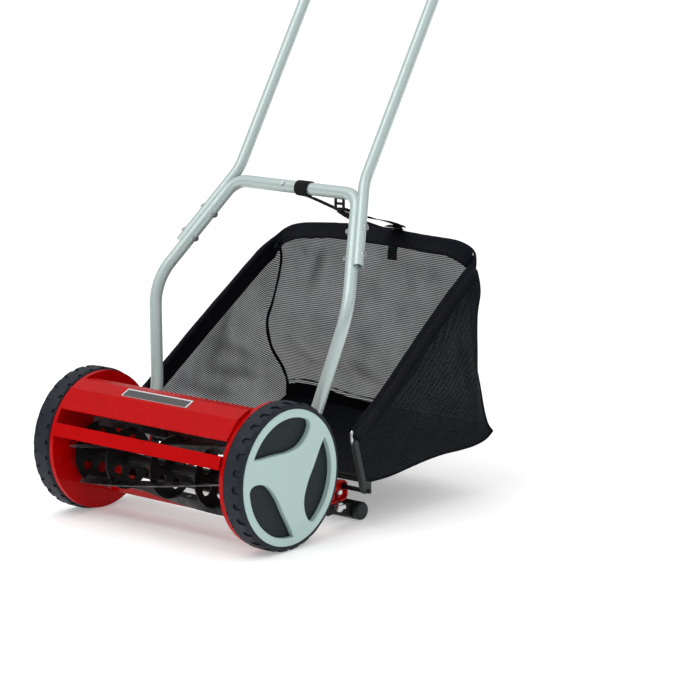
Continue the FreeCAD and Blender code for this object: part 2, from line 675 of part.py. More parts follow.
lower_envelope = swept(rounded_wire(leg + [cross], LEG_BENDS), LEG_R + 0.05)
upper = bent_tube(upper_points(), [90, TOP_BEND, TOP_BEND, 90], UPPER_R, UPPER_BORE_R)
insert = ring_x(INSERT_R, INSERT_R - 1.4, CROSS_SPLIT_X - 8, 4.0, cross.y, cross.z)
sleeve = ring_x(LEG_BORE_R + 0.3, INSERT_R - 0.3, CROSS_SPLIT_X - 8, CROSS_SPLIT_X - 0.2, cross.y, cross.z)
lower_right = make_lower(CROSS_SPLIT_X)
lower_left = mirrored(make_lower(-CROSS_SPLIT_X + 0.2)).multiFuse([sleeve, insert])
for cutter in [lower_envelope, mirrored(lower_envelope)] + both(joint_bolts):
    upper = upper.cut(cutter)
leg_bolts, leg_nuts = [], []
inner_face = LEG_PATH[0][0] - LEG_R
for y, z in LEG_BOLTS:
    shank = rod_x(LEG_BOLT_R, inner_face - 6, PLATE_OUT, y, z)
    leg_bolts.append(shank.fuse(rod_x(6.0, PLATE_OUT, PLATE_OUT + 3.4, y, z)).removeSplitter())
    nut = hexagon_x(10.0, inner_face - 5, inner_face + 0.2, y, z)
    leg_nuts.append(nut.cut(rod_x(LEG_BOLT_R, 160, 180, y, z)))
for cutter in joint_bolts + leg_bolts + joint_nuts + leg_nuts + [split_screw, split_head]:
    lower_right = lower_right.cut(cutter)
for cutter in [mirrored(s) for s in joint_bolts + leg_bolts + joint_nuts + leg_nuts] + [split_screw]:
    lower_left = lower_left.cut(cutter)
plug_direction = unit(leg[1] - leg[0])
plug_end = leg[0] - plug_direction * 3.0
plug = rod_between(plug_end, leg[0], LEG_R).fuse(
    rod_between(leg[0], leg[0] + plug_direction * 6.0, LEG_BORE_R)).removeSplitter()
plug = plug.cut(prism_x([(0, 0), (150, 0), (150, 200), (0, 200)], PLATE_IN - 0.05, 210))
grip = ring_x(GRIP_R, UPPER_R, -GRIP_HALF, GRIP_HALF, TOP_Y, TOP_Z)
grip = grip.makeFillet(5.0, [e for e in grip.Edges if isinstance(e.Curve, Part.Circle)
                             and e.Curve.Radius > GRIP_R - 0.1])

save("lower_handle_right", lower_right)
save("lower_handle_left", lower_left)
save("upper_handle", upper)
save("handle_grip", grip)
save("handle_bolts", *both(joint_bolts))
save("handle_nuts", *both(joint_nuts))
save("leg_bolts", *both(leg_bolts))
save("leg_nuts", *both(leg_nuts))
save("leg_plugs", *both([plug]))
save("crossbar_screw", split_screw.fuse(split_head).removeSplitter())


# ------------------------------------------------------------------ grass bag
mouth_front = vec(0, *MOUTH_FRONT)
mouth_top = vec(0, *MOUTH_TOP)
mouth_up = unit(mouth_top - mouth_front)
mouth_out = vec(0, -mouth_up.z, mouth_up.y)         # out of the bag, towards the handle
mouth_length = (mouth_top - mouth_front).Length


def mouth_point(x, up, out=0.0):
    """A point across and up the mouth's plane."""
    return mouth_front + vec(x, 0, 0) + mouth_up * up + mouth_out * out


def make_wire():
    """Round wire of the mouth: two sides and a top, bent down into the side channels."""
    inset = 7.0
    right = [vec(CHANNEL_X[0] + 4.5, 157.0, 140.0), mouth_point(BAG_FRONT_HALF - 2, 2, BAND_T / 2),
             mouth_point(BAG_TOP_HALF - inset, mouth_length - 6 - inset, BAND_T / 2)]
    left = [vec(-p.x, p.y, p.z) for p in reversed(right)]
    return right + left, [12, 34, 34, 12]


def make_band():
    """The padded fabric sleeve round the wire, a flat band on three sides of the mouth."""
    def corners(inset, low):
        top = mouth_length + BAND_W / 2 - 8 - inset
        return [mouth_point(BAG_FRONT_HALF + 4 - inset, low), mouth_point(BAG_TOP_HALF - inset, top),
                mouth_point(-BAG_TOP_HALF + inset, top), mouth_point(-BAG_FRONT_HALF - 4 + inset, low)]
    outer = Part.Face(rounded_outline(corners(0.0, 8.0), [1, 40, 40, 1]))
    inner = Part.Face(rounded_outline(corners(BAND_W, -30.0), [1, 22, 22, 1]))
    return outer.cut(inner).extrude(mouth_out * BAND_T)


def sheet_across(y0, z0, y1, z1, half):
    """A flat panel right across the bag, from one (y, z) line to another."""
    dy, dz = y1 - y0, z1 - z0
    length = math.hypot(dy, dz)
    ny, nz = -dz / length * CLOTH_T, dy / length * CLOTH_T
    return prism_x([(y0, z0), (y1, z1), (y1 + ny, z1 + nz), (y0 + ny, z0 + nz)], -half, half)


def make_channel():
    """Side channel that holds the wire's end and hooks over the mower's bag rod."""
    room = BAG_ROD_NECK_R + 0.3
    top = BAG_ROD_Z + room
    outline = [(147, 160), (156, 163), (178, 88), (191.5, 85), (192, 66), (BAG_ROD_Y + room, 66),
               (BAG_ROD_Y + room, top), (BAG_ROD_Y - room, top), (BAG_ROD_Y - room, 66), (176, 66),
               (170, 80)]
    return prism_x(outline, *CHANNEL_X)


wire_points, wire_bends = make_wire()
wire = bent_tube(wire_points, wire_bends, WIRE_R)
wire_room = bent_tube(wire_points, wire_bends, WIRE_R + 0.1)
channel = make_channel().cut(wire_room)
front_rod = rod_x(3.0, -CHANNEL_X[0], CHANNEL_X[0], 171.0, 95.0)
SIDE_X = (236.0, 238.0)
side_outline = [(BAG_FLOOR_FRONT[0], BAG_FLOOR_FRONT[1] + 2), BAG_REAR_LOW, (507, 446),
                (MOUTH_TOP[0] - 1, MOUTH_TOP[1] - 4), (MOUTH_FRONT[0] + 14, MOUTH_FRONT[1] + 9),
                (MOUTH_FRONT[0] + 14, 150)]
side_panel = prism_x(side_outline, *SIDE_X)
half_in = SIDE_X[0] - 0.2
floor = sheet_across(*BAG_FLOOR_FRONT, BAG_REAR_LOW[0] - 4, BAG_REAR_LOW[1], half_in)
back = sheet_across(BAG_REAR_LOW[0] - 1, BAG_REAR_LOW[1] + 3, MOUTH_TOP[0] + 5, MOUTH_TOP[1] - 4,
                    half_in)

save("bag_wire", wire)
save("bag_binding", make_band().cut(wire_room))
save_pair("bag_side", side_panel)
save("bag_back", back)
save("bag_floor", floor)
save("bag_channels", *both([channel]))
save("bag_front_rod", front_rod)
bag_rod = rod_x(BAG_ROD_NECK_R, -BAG_ROD_HALF, BAG_ROD_HALF, BAG_ROD_Y, BAG_ROD_Z)
bag_rod = bag_rod.multiFuse([
    rod_x(BAG_ROD_R, -BAG_ROD_NECK_X, BAG_ROD_NECK_X, BAG_ROD_Y, BAG_ROD_Z),
    rod_x(BAG_ROD_MID_R, -BAG_ROD_MID_HALF, BAG_ROD_MID_HALF, BAG_ROD_Y, BAG_ROD_Z)])
save("bag_rod", bag_rod.removeSplitter())

# strap between the handle's cross-bar and the top of the bag
strap_x = (STRAP_X[0] + STRAP_X[1]) / 2
loop = ring_x(LEG_R + 0.2 + STRAP_T, LEG_R + 0.2, *STRAP_X, cross.y, cross.z)
strap_half = 9.0
strap_top = vec(strap_x, cross.y + 3, cross.z - LEG_R - STRAP_T - 1.6)
strap_low = mouth_point(54.0, mouth_length + 7.5, BAND_T + 1.0)
buckle_low = vec(BUCKLE_X[0] + 12, cross.y + 18, cross.z - 38)


def strand(start, end, half):
    """One straight run of webbing, from one cross-wise end to the other."""
    wires = []
    for point in (start, end):
        corners = [point + vec(half * a, 0, STRAP_T / 2 * b)
                   for a, b in ((-1, -1), (1, -1), (1, 1), (-1, 1))]
        wires.append(Part.makePolygon(corners + corners[:1]))
    return Part.makeLoft(wires, True, True)


buckle = Part.makeBox(BUCKLE_X[1] - BUCKLE_X[0], 6, 26, vec(BUCKLE_X[0], cross.y + 15, cross.z - 36))
for slot_z in (-33, -17):
    buckle = buckle.cut(Part.makeBox(18, 10, 4, vec(BUCKLE_X[0] + 3, cross.y + 13, cross.z + slot_z)))
save("strap_loop", loop)
strands = [strand(strap_top, strap_low, strap_half), strand(buckle_low, strap_low + vec(20, 0, 1), 8.0)]
save("bag_strap", *strands)
save("strap_buckle", buckle)
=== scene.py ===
import json
import math

import bpy
import numpy as np
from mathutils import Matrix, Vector, noise


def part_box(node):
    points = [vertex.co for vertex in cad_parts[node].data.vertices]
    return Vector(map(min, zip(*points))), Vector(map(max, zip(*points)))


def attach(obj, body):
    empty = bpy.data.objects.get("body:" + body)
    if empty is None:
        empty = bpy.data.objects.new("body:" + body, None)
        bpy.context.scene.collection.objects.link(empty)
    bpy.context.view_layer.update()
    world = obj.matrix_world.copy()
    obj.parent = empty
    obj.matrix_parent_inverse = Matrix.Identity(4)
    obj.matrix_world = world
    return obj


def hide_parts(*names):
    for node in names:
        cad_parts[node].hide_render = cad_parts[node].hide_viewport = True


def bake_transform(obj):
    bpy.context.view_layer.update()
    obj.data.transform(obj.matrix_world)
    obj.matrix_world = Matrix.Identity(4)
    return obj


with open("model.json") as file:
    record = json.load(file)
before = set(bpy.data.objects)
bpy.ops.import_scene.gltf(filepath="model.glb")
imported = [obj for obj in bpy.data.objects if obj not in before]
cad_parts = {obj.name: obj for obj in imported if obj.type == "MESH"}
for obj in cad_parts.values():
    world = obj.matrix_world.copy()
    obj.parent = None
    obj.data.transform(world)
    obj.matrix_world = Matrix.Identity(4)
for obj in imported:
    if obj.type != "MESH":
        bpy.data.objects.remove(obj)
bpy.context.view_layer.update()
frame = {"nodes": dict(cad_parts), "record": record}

# A reel mower with a net grass bag. Lengths below are millimetres counted from the wheel axle, as
# the mower is drawn: X across, +Y to the rear, Z up from the floor. place() turns them into metres.
MM = 0.001
wheel_low, wheel_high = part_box("wheel_right")
AXLE_Y = (wheel_low.y + wheel_high.y) / 2

nodes = frame["nodes"]


def place(x, y, z):
    return Vector((x * MM, AXLE_Y + y * MM, z * MM))


# ------------------------------------------------------------------ camera, lights and floor
CAMERA_AZIMUTH = math.radians(40.64)
CAMERA_ELEVATION = math.radians(10.99)
CAMERA_TARGET = (0.2858, -0.1490, 0.3509)
CAMERA_DISTANCE = 4.6
CAMERA_LENS = 148.24


def away_from(azimuth, elevation):
    """The direction from the mower towards someone who looks at it from there."""
    return Vector((math.sin(azimuth) * math.cos(elevation),
                   -math.cos(azimuth) * math.cos(elevation), math.sin(elevation)))


def add_camera():
    camera = bpy.data.objects.new("camera", bpy.data.cameras.new("camera"))
    bpy.context.scene.collection.objects.link(camera)
    back = away_from(CAMERA_AZIMUTH, CAMERA_ELEVATION)
    camera.location = Vector(CAMERA_TARGET) + back * CAMERA_DISTANCE
    camera.rotation_euler = (-back).to_track_quat("-Z", "Y").to_euler()
    camera.data.lens = CAMERA_LENS
    camera.data.sensor_width = 36.0
    camera.data.clip_end = 100.0
    bpy.context.scene.camera = camera


def add_softbox(name, azimuth, elevation, distance, size, power):
    lamp = bpy.data.lights.new(name, "AREA")
    lamp.shape = "RECTANGLE"
    lamp.size, lamp.size_y = size
    lamp.energy = power
    box = bpy.data.objects.new(name, lamp)
    bpy.context.scene.collection.objects.link(box)
    back = away_from(math.radians(azimuth), math.radians(elevation))
    box.location = Vector((0, 0, 0.4)) + back * distance
    box.rotation_euler = (-back).to_track_quat("-Z", "Y").to_euler()


def add_sky():
    """A white studio dome, dimmer towards the floor line."""
    world = bpy.data.worlds.new("studio")
    bpy.context.scene.world = world
    world.use_nodes = True
    tree = world.node_tree
    background = tree.nodes["Background"]
    where = tree.nodes.new("ShaderNodeTexCoord")
    split = tree.nodes.new("ShaderNodeSeparateXYZ")
    ramp = tree.nodes.new("ShaderNodeValToRGB")
    ramp.color_ramp.elements[0].position = 0.0
    ramp.color_ramp.elements[0].color = (0.16, 0.16, 0.165, 1)
    ramp.color_ramp.elements[1].position = 0.85
    ramp.color_ramp.elements[1].color = (1, 1, 1, 1)
    tree.links.new(where.outputs["Generated"], split.inputs[0])
    tree.links.new(split.outputs["Z"], ramp.inputs[0])
    tree.links.new(ramp.outputs[0], background.inputs["Color"])
    background.inputs["Strength"].default_value = 1.0


# ------------------------------------------------------------------ materials
class Shader:
    """A Principled material, with helpers that add procedural detail to its sockets."""

    def __init__(self, name, colour, roughness, **sockets):
        self.material = bpy.data.materials.new(name)
        self.material.use_nodes = True
        self.tree = self.material.node_tree
        self.principled = self.tree.nodes["Principled BSDF"]
        self.colour = colour
        self.roughness = roughness
        self.principled.inputs["Base Color"].default_value = (*colour, 1)
        self.principled.inputs["Roughness"].default_value = roughness
        for key, value in sockets.items():
            self.principled.inputs[key.replace("_", " ")].default_value = value
        self.normal = None
        self.where = {}

    def node(self, kind, **settings):
        made = self.tree.nodes.new("ShaderNode" + kind)
        for key, value in settings.items():
            setattr(made, key, value)
        return made

    def link(self, output, socket):
        self.tree.links.new(output, socket)

    def coordinate(self, source="Object", scale=(1, 1, 1)):
        """Coordinates in metres, from the object or its UV map, scaled."""
        mapping = self.node("Mapping")
        mapping.inputs["Scale"].default_value = scale
        texture = self.node("TexCoord")
        self.link(texture.outputs[source], mapping.inputs["Vector"])
        return mapping.outputs[0]

    def noise(self, scale, detail=3.0, source="Object", stretch=(1, 1, 1)):
        made = self.node("TexNoise")
        made.inputs["Scale"].default_value = scale
        made.inputs["Detail"].default_value = detail
        self.link(self.coordinate(source, stretch), made.inputs["Vector"])
        return made.outputs["Fac"]

    def spread(self, value, low, high, start=0.3, end=0.7):
        """Maps a 0 to 1 pattern onto low to high."""
        made = self.node("MapRange")
        made.inputs["From Min"].default_value = start
        made.inputs["From Max"].default_value = end
        made.inputs["To Min"].default_value = low
        made.inputs["To Max"].default_value = high
        self.link(value, made.inputs["Value"])
        return made.outputs[0]

    def math(self, operation, first, second=None):
        made = self.node("Math", operation=operation)
        for socket, value in zip(made.inputs, (first, second)):
            if value is None:
                continue
            if isinstance(value, (int, float)):
                socket.default_value = value
            else:
                self.link(value, socket)
        return made.outputs[0]

    def tint(self, amount, low, high):
        """Base colour between two shades of the material's own colour, by a 0 to 1 pattern."""
        made = self.node("MixRGB")
        for socket, gain in ((made.inputs["Color1"], low), (made.inputs["Color2"], high)):
            if isinstance(gain, tuple):
                socket.default_value = (*gain, 1)
            else:
                socket.default_value = (*[min(1.0, c * gain) for c in self.colour], 1)
        self.link(amount, made.inputs["Fac"])
        self.link(made.outputs[0], self.principled.inputs["Base Color"])
        return made.outputs[0]

    def over(self, amount, colour):
        """Lays another colour over the base colour by a 0 to 1 pattern."""
        base = self.principled.inputs["Base Color"]
        made = self.node("MixRGB")
        if base.is_linked:
            self.link(base.links[0].from_socket, made.inputs["Color1"])
        else:
            made.inputs["Color1"].default_value = base.default_value
        made.inputs["Color2"].default_value = (*colour, 1)
        self.link(amount, made.inputs["Fac"])
        self.link(made.outputs[0], base)

    def rough(self, value):
        self.link(value, self.principled.inputs["Roughness"])

    def bump(self, height, strength, distance):
        made = self.node("Bump")
        made.inputs["Strength"].default_value = strength
        made.inputs["Distance"].default_value = distance
        self.link(height, made.inputs["Height"])
        if self.normal is not None:
            self.link(self.normal, made.inputs["Normal"])
        self.normal = made.outputs[0]
        self.link(self.normal, self.principled.inputs["Normal"])

    def wave(self, scale, direction, source="UV", distortion=0.0):
        """Straight ribs, scale of them in a metre (the texture has one wave in 0.314 of a unit)."""
        made = self.node("TexWave", wave_type="BANDS", bands_direction=direction, wave_profile="SIN")
        made.inputs["Scale"].default_value = scale * 2 * math.pi / 20.0
        made.inputs["Distortion"].default_value = distortion
        made.inputs["Detail Scale"].default_value = 0.3
        self.link(self.coordinate(source), made.inputs["Vector"])
        return made.outputs["Fac"]

    def edge_wear(self, colour, low=0.52, high=0.6):
        """Lighter, worn edges where the surface turns sharply."""
        geometry = self.node("NewGeometry")
        self.over(self.spread(geometry.outputs["Pointiness"], 0.0, 1.0, low, high), colour)


def red_paint():
    s = Shader("red_paint", (0.48, 0.0012, 0.002), 0.3, Coat_Weight=0.14, Coat_Roughness=0.04,
               Coat_IOR=1.4)
    s.principled.inputs["Specular IOR Level"].default_value = 0.05
    s.tint(s.noise(35.0, 4.0), 0.86, 1.1)
    s.rough(s.spread(s.noise(220.0, 2.0), 0.2, 0.32))
    s.bump(s.noise(900.0, 1.0), 0.06, 0.0004)
    return s.material


def tube_paint():
    s = Shader("tube_paint", (0.455, 0.55, 0.53), 0.34, Coat_Weight=0.35, Coat_Roughness=0.2)
    s.principled.inputs["Metallic"].default_value = 0.25
    s.tint(s.noise(1400.0, 2.0), 0.9, 1.12)
    s.rough(s.spread(s.noise(60.0, 4.0), 0.28, 0.42))
    s.bump(s.noise(1800.0, 1.0), 0.08, 0.0003)
    return s.material


def hub_plastic():
    s = Shader("hub_plastic", (0.44, 0.6, 0.57), 0.36)
    s.tint(s.noise(18.0, 3.0), 0.95, 1.04)
    s.rough(s.spread(s.noise(300.0, 2.0), 0.32, 0.46))
    s.bump(s.noise(2600.0, 1.0), 0.12, 0.0002)
    return s.material


def moulded(name, colour, roughness=0.5, grain=1500.0, strength=0.2):
    s = Shader(name, colour, roughness, Specular_IOR_Level=0.16)
    s.tint(s.noise(25.0, 4.0), 0.8, 1.25)
    s.rough(s.spread(s.noise(140.0, 3.0), roughness - 0.07, roughness + 0.1))
    s.bump(s.noise(grain, 2.0), strength, 0.0003)
    return s.material


def tyre_rubber():
    s = Shader("tyre_rubber", (0.010, 0.014, 0.021), 0.5, Specular_IOR_Level=0.22)
    s.tint(s.noise(30.0, 5.0), 0.75, 1.4)
    s.over(s.spread(s.noise(70.0, 6.0), 0.0, 0.12, 0.5, 0.75), (0.06, 0.07, 0.08))
    s.rough(s.spread(s.noise(90.0, 4.0), 0.48, 0.68))
    s.bump(s.noise(700.0, 3.0), 0.25, 0.0004)
    return s.material


def steel(name, colour, roughness, scale=90.0, stretch=(1, 14, 14)):
    s = Shader(name, colour, roughness, Metallic=1.0)
    brushed = s.noise(scale, 5.0, stretch=stretch)
    s.tint(brushed, 0.75, 1.15)
    s.rough(s.spread(brushed, roughness - 0.06, roughness + 0.14))
    s.bump(brushed, 0.1, 0.0002)
    return s.material


def blade_steel():
    """Dark hardened steel with bright ground edges."""
    s = Shader("blade_steel", (0.014, 0.0135, 0.015), 0.32, Metallic=0.7)
    s.tint(s.noise(40.0, 5.0), 0.6, 1.4)
    s.rough(s.spread(s.noise(200.0, 4.0), 0.22, 0.42))
    s.edge_wear((0.2, 0.2, 0.21), 0.54, 0.62)
    s.bump(s.noise(400.0, 3.0), 0.08, 0.0002)
    return s.material


def bronze():
    s = Shader("bush_bronze", (0.45, 0.27, 0.11), 0.35, Metallic=1.0)
    s.tint(s.noise(500.0, 3.0), 0.8, 1.15)
    s.bump(s.noise(1200.0, 2.0), 0.1, 0.0002)
    return s.material


def label():
    """A plain black plate with a thin silver line round its edge."""
    low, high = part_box("label_plate")
    s = Shader("label", (0.006, 0.006, 0.007), 0.22, Coat_Weight=0.6, Coat_Roughness=0.06)
    s.tint(s.noise(120.0, 3.0), 0.7, 1.5)
    texture = s.node("TexCoord")
    split = s.node("SeparateXYZ")
    s.link(texture.outputs["Object"], split.inputs[0])
    middle = (low + high) / 2
    half = (high - low) / 2
    rims = []
    for axis, inset in (("X", 0.003), ("Z", 0.0012)):
        i = "XYZ".index(axis)
        away = s.math("ABSOLUTE", s.math("SUBTRACT", split.outputs[axis], middle[i]))
        rims.append(s.math("GREATER_THAN", away, half[i] - inset))
    s.over(s.math("MAXIMUM", *rims), (0.6, 0.62, 0.64))
    s.bump(s.noise(900.0, 2.0), 0.05, 0.0002)
    return s.material


def net():
    """Open woven net: dark threads both ways with clear gaps. Painted shade from the panel's shade
    attribute darkens the threads and closes the gaps.
    """
    s = Shader("net", (0.011, 0.02, 0.024), 0.7, Specular_IOR_Level=0.08)
    weft = s.wave(1 / 0.0034, "Y")
    warp = s.wave(1 / 0.0021, "X")
    s.tint(weft, 0.8, 1.5)
    shade_fac = s.node("Attribute", attribute_name="painted_shade").outputs["Fac"]
    # painted shade: threads go near black where the shade attribute is high (creases, the right wall)
    s.over(shade_fac, (0.004, 0.0055, 0.0075))
    threads = s.spread(weft, 0.76, 0.99, 0.15, 0.85)
    threads = s.math("ADD", threads, s.spread(warp, -0.015, 0.02, 0.1, 0.9))
    # painted shade also makes the net more opaque there
    threads = s.math("ADD", threads, s.math("MULTIPLY", shade_fac, 0.16))
    threads = s.math("ADD", threads, s.spread(s.noise(14.0, 3.0, "UV"), -0.025, 0.025))
    s.link(s.math("MINIMUM", threads, 1.0), s.principled.inputs["Alpha"])
    s.bump(weft, 0.5, 0.0006)
    s.bump(warp, 0.3, 0.0004)
    return s.material


def cloth(name, colour, rib=0.0011):
    """Close black weave with a little colour variation."""
    s = Shader(name, colour, 0.72, Specular_IOR_Level=0.1)
    across = s.wave(1 / rib, "X")
    along = s.wave(1 / rib, "Y")
    both = s.math("MULTIPLY", across, along)
    s.tint(s.noise(28.0, 5.0, "UV"), 0.6, 1.7)
    s.rough(s.spread(s.noise(160.0, 3.0, "UV"), 0.62, 0.85))
    s.bump(both, 0.5, 0.0004)
    s.bump(s.noise(60.0, 4.0, "UV"), 0.25, 0.0012)
    return s.material


def webbing():
    s = Shader("webbing", (0.006, 0.006, 0.007), 0.7, Specular_IOR_Level=0.12)
    ribs = s.wave(1 / 0.0016, "Y", distortion=0.4)
    s.tint(ribs, 0.7, 1.8)
    s.bump(ribs, 0.6, 0.0005)
    s.bump(s.wave(1 / 0.0022, "X"), 0.3, 0.0004)
    return s.material


def foam():
    s = Shader("grip_foam", (0.012, 0.012, 0.013), 0.85)
    s.tint(s.noise(400.0, 4.0), 0.7, 1.6)
    s.bump(s.noise(1100.0, 3.0), 0.5, 0.0006)
    return s.material


def pale_floor():
    s = Shader("pale_floor", (0.93, 0.93, 0.93), 0.9, Emission_Strength=0.3)
    s.principled.inputs["Emission Color"].default_value = (1, 1, 1, 1)
    s.principled.inputs["Specular IOR Level"].default_value = 0.0
    s.tint(s.noise(0.6, 2.0), 0.995, 1.005)
    return s.material


MATERIALS = {
    "red_paint": red_paint(),
    "label": label(),
    "tube_paint": tube_paint(),
    "hub_plastic": hub_plastic(),
    "wheel_plastic": moulded("wheel_plastic", (0.011, 0.019, 0.019), 0.45),
    "tyre": tyre_rubber(),
    "black_plastic": moulded("black_plastic", (0.009, 0.009, 0.01), 0.42),
    "grey_plastic": moulded("grey_plastic", (0.028, 0.034, 0.034), 0.42, strength=0.12),
    "black_steel": moulded("black_steel", (0.006, 0.006, 0.007), 0.35, 600.0, 0.06),
    "zinc_steel": steel("zinc_steel", (0.62, 0.64, 0.66), 0.28),
    "blade_steel": blade_steel(),
    "reel_paint": moulded("reel_paint", (0.008, 0.007, 0.007), 0.35, 500.0, 0.06),
    "gear_steel": steel("gear_steel", (0.22, 0.22, 0.23), 0.32),
    "bush_bronze": bronze(),
    "mesh_fabric": net(),
    "solid_fabric": cloth("solid_fabric", (0.0045, 0.0052, 0.008)),
    "binding_fabric": cloth("binding_fabric", (0.0035, 0.004, 0.0072)),
    "webbing": webbing(),
    "grip_foam": foam(),
}


def paint_cad_nodes():
    for part in frame["record"]["subparts"]:
        mesh = nodes[part["node"]].data
        mesh.materials.clear()
        mesh.materials.append(MATERIALS[part["material_slot"]])


# ------------------------------------------------------------------ mesh helpers
def add_mesh(name, vertices, faces, slot, body, uvs=None):
    """A smooth mesh piece of one material that rides on a body. uvs has one pair per vertex."""
    mesh = bpy.data.meshes.new(name)
    mesh.from_pydata([tuple(v) for v in vertices], [], faces)
    mesh.materials.append(MATERIALS[slot])
    mesh.shade_smooth()
    if uvs is not None:
        layer = mesh.uv_layers.new(name="weave")
        for loop in mesh.loops:
            layer.data[loop.index].uv = uvs[loop.vertex_index]
    piece = bpy.data.objects.new(name, mesh)
    bpy.context.scene.collection.objects.link(piece)
    if body:
        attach(piece, body)
    return piece


def smooth_line(points, count):
    """Evenly spaced points on a smooth curve through the given ones."""
    p = np.array([tuple(q) for q in points], float)
    p = np.vstack([2 * p[0] - p[1], p, 2 * p[-1] - p[-2]])
    knots = np.concatenate([[0], np.cumsum(np.linalg.norm(np.diff(p, axis=0), axis=1) ** 0.5)])
    dense = []
    for i in range(1, len(p) - 2):
        t = np.linspace(knots[i], knots[i + 1], 24, endpoint=False)[:, None]
        k0, k1, k2, k3 = knots[i - 1:i + 3]
        a1 = (k1 - t) / (k1 - k0) * p[i - 1] + (t - k0) / (k1 - k0) * p[i]
        a2 = (k2 - t) / (k2 - k1) * p[i] + (t - k1) / (k2 - k1) * p[i + 1]
        a3 = (k3 - t) / (k3 - k2) * p[i + 1] + (t - k2) / (k3 - k2) * p[i + 2]
        b1 = (k2 - t) / (k2 - k0) * a1 + (t - k0) / (k2 - k0) * a2
        b2 = (k3 - t) / (k3 - k1) * a2 + (t - k1) / (k3 - k1) * a3
        dense.append((k2 - t) / (k2 - k1) * b1 + (t - k1) / (k2 - k1) * b2)
    dense.append(p[-2:-1])
    return even(np.vstack(dense), count)


def even(points, count):
    """The same line with count evenly spaced points."""
    points = np.asarray(points, float)
    along = np.concatenate([[0], np.cumsum(np.linalg.norm(np.diff(points, axis=0), axis=1))])
    t = np.linspace(0, along[-1], count)
    return np.stack([np.interp(t, along, points[:, i]) for i in range(3)], axis=1)


def line_length(points):
    return float(np.linalg.norm(np.diff(points, axis=0), axis=1).sum())


def grid_quads(rows, columns, closed=False):
    """Quads of a grid of vertices; closed joins the last column to the first."""
    quads = []
    for r in range(rows - 1):
        for c in range(columns if closed else columns - 1):
            n = (c + 1) % columns
            quads.append((r * columns + c, r * columns + n, (r + 1) * columns + n,
                          (r + 1) * columns + c))
    return quads


def tangents(line):
    t = np.gradient(line, axis=0)
    return t / np.linalg.norm(t, axis=1)[:, None]


def tube(name, line, radius, slot, body, sides=10, up=(0, 0, 1), flat=1.0, cap=True):
    """A round or flattened tube along a line, in millimetres. radius may vary along it."""
    line = np.asarray(line, float)
    t = tangents(line)
    radius = np.broadcast_to(radius, (len(line),))
    side = np.cross(t, np.array(up, float))
    side /= np.linalg.norm(side, axis=1)[:, None]
    top = np.cross(side, t)
    vertices, uvs = [], []
    along = np.concatenate([[0], np.cumsum(np.linalg.norm(np.diff(line, axis=0), axis=1))])
    for i in range(len(line)):
        for k in range(sides):
            a = 2 * math.pi * k / sides
            offset = side[i] * math.cos(a) * radius[i] + top[i] * math.sin(a) * radius[i] * flat
            vertices.append(place(*(line[i] + offset)))
            uvs.append((along[i] * MM, k / sides * 2 * math.pi * radius[i] * MM))
    faces = grid_quads(len(line), sides, True)
    if cap:
        faces.append(tuple(range(sides))[::-1])
        faces.append(tuple((len(line) - 1) * sides + k for k in range(sides)))
    return add_mesh(name, vertices, faces, slot, body, uvs)


# ------------------------------------------------------------------ grass bag: outline
# The mouth's outer edge, from the low right end up, across the top and down the left side.
MOUTH_RIGHT = [(250, 148, 181), (249, 183, 206), (248, 237, 244), (245, 294, 287), (240, 368, 341),
               (238, 426, 382), (238, 468, 411), (240, 490, 427), (233, 499, 443), (208, 500, 454)]
MOUTH_TOP = [(156, 500, 457), (64, 500, 460), (0, 500, 461), (-55, 500, 461), (-127, 500, 456)]
MOUTH_LEFT = [(-180, 499, 449), (-211, 495, 437), (-229, 484, 421), (-236, 460, 405), (-238, 426, 382),
              (-240, 368, 341), (-245, 294, 287), (-248, 237, 244), (-249, 183, 206), (-250, 148, 181)]
SLEEVE_WIDTH = 38.0
SLEEVE_STEPS = 260
REAR_LIMIT = 499.0      # the sleeve's lower edge stays in front of the back wall
MOUTH_SLOPE = math.atan2(274.0, 350.0)
MOUTH_NORMAL = np.array([0, -math.sin(MOUTH_SLOPE), math.cos(MOUTH_SLOPE)])

# Seams of the bag's right side; the left one is pulled in further.
SEAM_RIGHT = [(226, 487, 425), (236, 486, 398), (238, 482, 361), (238, 487, 319), (239, 492, 284),
              (240, 498, 240), (241, 509, 197), (243, 521, 146), (244, 531, 123), (245, 542, 111)]
SEAM_LEFT = [(-212, 478, 420), (-228, 505, 377), (-234, 488, 300), (-236, 474, 264), (-238, 486, 214),
             (-240, 522, 165), (-243, 538, 135), (-245, 540, 111)]
BOTTOM_RIGHT = [(247, 182, 83), (247, 250, 83), (247, 300, 88), (247, 350, 93), (246, 400, 95),
                (246, 450, 94), (246, 490, 95), (246, 522, 101), (245, 542, 111)]
FLOOR_FRONT_Z = 84.0


def mirror(points):
    return [(-x, y, z) for x, y, z in points]


mouth = smooth_line(MOUTH_RIGHT + MOUTH_TOP + MOUTH_LEFT, SLEEVE_STEPS)
mouth_tangent = tangents(mouth)
mouth_inward = np.cross(MOUTH_NORMAL, mouth_tangent)
# at the sides the sleeve lies along the side walls instead of across the mouth
sideways = np.abs(mouth_inward[:, :1])
mouth_inward[:, 0] = 0.0
mouth_inward += sideways * -MOUTH_NORMAL
mouth_inward[:, 1] = np.minimum(mouth_inward[:, 1], (REAR_LIMIT - mouth[:, 1]) / SLEEVE_WIDTH)
mouth_inward /= np.linalg.norm(mouth_inward, axis=1)[:, None]
mouth_normal = np.cross(mouth_tangent, mouth_inward)


def wobble(x, y, z, scale, seed=0.0):
    """Smooth noise from -1 to 1 at a place in millimetres; scale is the size of its bumps."""
    return noise.noise(Vector((x / scale + seed, y / scale - seed, z / scale + 2 * seed)))


